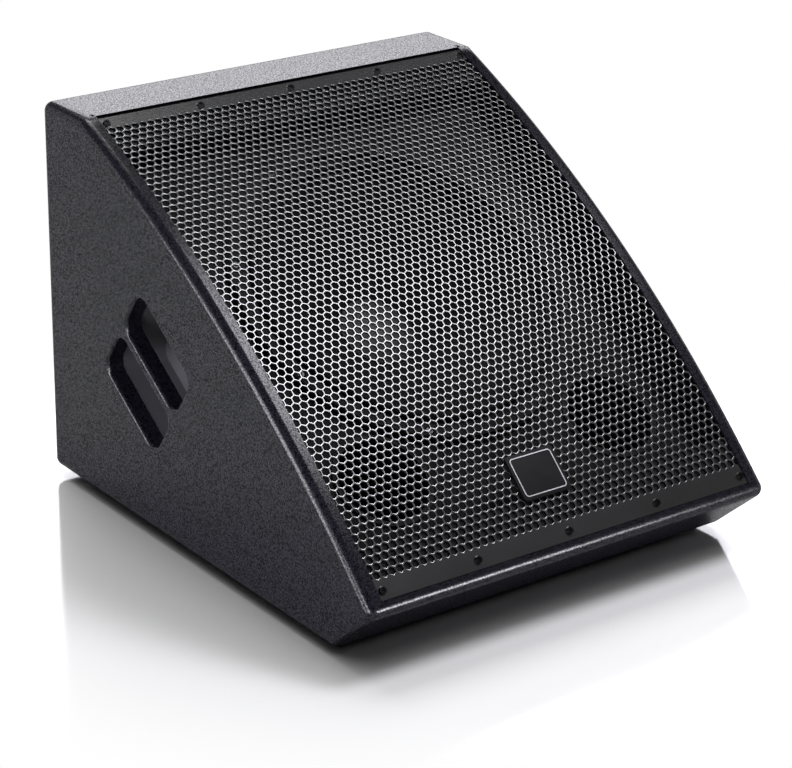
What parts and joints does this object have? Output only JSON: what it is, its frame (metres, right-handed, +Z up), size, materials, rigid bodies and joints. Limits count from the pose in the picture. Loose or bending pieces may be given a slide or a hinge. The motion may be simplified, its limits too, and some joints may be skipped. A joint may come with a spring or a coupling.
{
  "type": "stage monitor wedge",
  "caption": "Powered floor loudspeaker in a black wooden wedge with a bowed hex-perforated steel grille, finger-slot handles and a recessed rear control plate.",
  "frame": {"origin": "middle of the outline's footprint on the floor, under the feet", "axes": "+Z up, the bowed grille faces -Y, the control plate faces +Y, +X to the right from the front"},
  "size_m": [0.408, 0.4742, 0.342],
  "materials": {
    "cabinet_paint": "textured black paint on plywood",
    "inner_wood": "matt black stain on plywood",
    "grille_steel": "satin black powder coat",
    "black_screws": "black oxide",
    "badge": "black with a pale rim",
    "cup_plastic": "grained dark grey",
    "port_plastic": "matt black",
    "foot_rubber": "matt black",
    "zinc_screws": "zinc plated",
    "cast_frame": "black coated casting",
    "gasket_foam": "dense foam",
    "surround_cloth": "doped cloth",
    "cone_paper": "pressed paper",
    "screen_mesh": "fine woven mesh",
    "coil_copper": "lacquered copper wire",
    "spider_cloth": "resin-stiffened cloth",
    "motor_steel": "zinc plated",
    "ferrite": "fired ceramic",
    "hf_casting": "grey paint",
    "titanium_foil": "thin formed foil",
    "hf_cap": "moulded black",
    "rear_plate": "fine black powder coat",
    "sink_aluminium": "black anodised",
    "circuit_board": "green solder mask",
    "spacer_brass": "turned",
    "capacitor_sleeve": "shrink sleeve",
    "transformer_tape": "wound copper and steel under tape",
    "socket_plastic": "moulded black",
    "lead_sleeve": "soft sleeve over copper strands",
    "latch_metal": "nickel plated",
    "control_body": "plated",
    "knob_plastic": "moulded black",
    "light_lens": "tinted lens",
    "slider_plastic": "white"
  },
  "bodies": {
    "cabinet": {"side_panel_left": "cabinet_paint", "side_panel_right": "cabinet_paint", "top_panel": "cabinet_paint", "back_panel": "cabinet_paint", "bottom_panel": "cabinet_paint", "kick_panel": "cabinet_paint", "baffle": "inner_wood", "top_batten": "inner_wood", "bottom_batten": "inner_wood", "grille": "grille_steel", "grille_screws": "black_screws", "badge_plate": "badge", "handle_cup_left": "cup_plastic", "handle_cup_right": "cup_plastic", "port_tube_left": "port_plastic", "port_tube_right": "port_plastic", "foot_back_left": "foot_rubber", "foot_back_right": "foot_rubber", "foot_front_left": "foot_rubber", "foot_front_right": "foot_rubber", "foot_screws": "zinc_screws", "woofer_frame": "cast_frame", "woofer_gasket": "gasket_foam", "woofer_surround": "surround_cloth", "spider": "spider_cloth", "top_plate": "motor_steel", "woofer_magnet": "ferrite", "pole_plate": "motor_steel", "woofer_screws": "black_screws", "hf_motor": "hf_casting", "hf_cover": "hf_cap", "amp_battens": "inner_wood", "amp_plate": "rear_plate", "amp_screws": "black_screws", "heat_sink": "sink_aluminium", "amp_board": "circuit_board", "board_spacers": "spacer_brass", "capacitors": "capacitor_sleeve", "mains_transformer": "transformer_tape", "transformer_clamp": "motor_steel", "woofer_lead": "lead_sleeve", "hf_lead": "lead_sleeve", "input_socket": "socket_plastic", "input_insert": "socket_plastic", "link_socket": "socket_plastic", "potentiometers": "control_body", "mains_inlet": "socket_plastic", "power_switch": "socket_plastic", "status_light": "light_lens", "lift_switch": "control_body"},
    "cone": {"woofer_cone": "cone_paper", "dust_screen": "screen_mesh", "voice_coil": "coil_copper"},
    "diaphragm": {"hf_diaphragm": "titanium_foil"},
    "level_control": {"level_knob": "knob_plastic"},
    "low_control": {"low_knob": "knob_plastic"},
    "high_control": {"high_knob": "knob_plastic"},
    "rocker": {"power_rocker": "knob_plastic"},
    "latch": {"input_latch": "latch_metal"},
    "lift": {"lift_slider": "slider_plastic"}
  },
  "joints": [
    {"name": "cone_travel", "type": "slide", "parent": "cabinet", "child": "cone", "axis": [0, -0.5702, 0.8215], "range_m": [-0.006, 0.006], "stiffness_N_per_m": 3000, "deforming": ["woofer_surround", "spider"]},
    {"name": "diaphragm_travel", "type": "slide", "parent": "cabinet", "child": "diaphragm", "axis": [0, -0.5702, 0.8215], "range_m": [-0.0003, 0.0003], "stiffness_N_per_m": 2000},
    {"name": "level_turn", "type": "hinge", "parent": "cabinet", "child": "level_control", "pos_m": [-0.01, 0.22411, 0.173], "axis": [0, 1, 0], "range_deg": [-150, 150]},
    {"name": "low_turn", "type": "hinge", "parent": "cabinet", "child": "low_control", "pos_m": [-0.047, 0.22411, 0.173], "axis": [0, 1, 0], "range_deg": [-150, 150]},
    {"name": "high_turn", "type": "hinge", "parent": "cabinet", "child": "high_control", "pos_m": [-0.084, 0.22411, 0.173], "axis": [0, 1, 0], "range_deg": [-150, 150]},
    {"name": "power_rock", "type": "hinge", "parent": "cabinet", "child": "rocker", "pos_m": [-0.017, 0.22211, 0.127], "axis": [1, 0, 0], "range_deg": [0, 16]},
    {"name": "latch_press", "type": "slide", "parent": "cabinet", "child": "latch", "axis": [0, -1, 0], "range_m": [0, 0.0015], "stiffness_N_per_m": 400},
    {"name": "lift_slide", "type": "slide", "parent": "cabinet", "child": "lift", "axis": [-1, 0, 0], "range_m": [0, 0.003]}
  ]
}
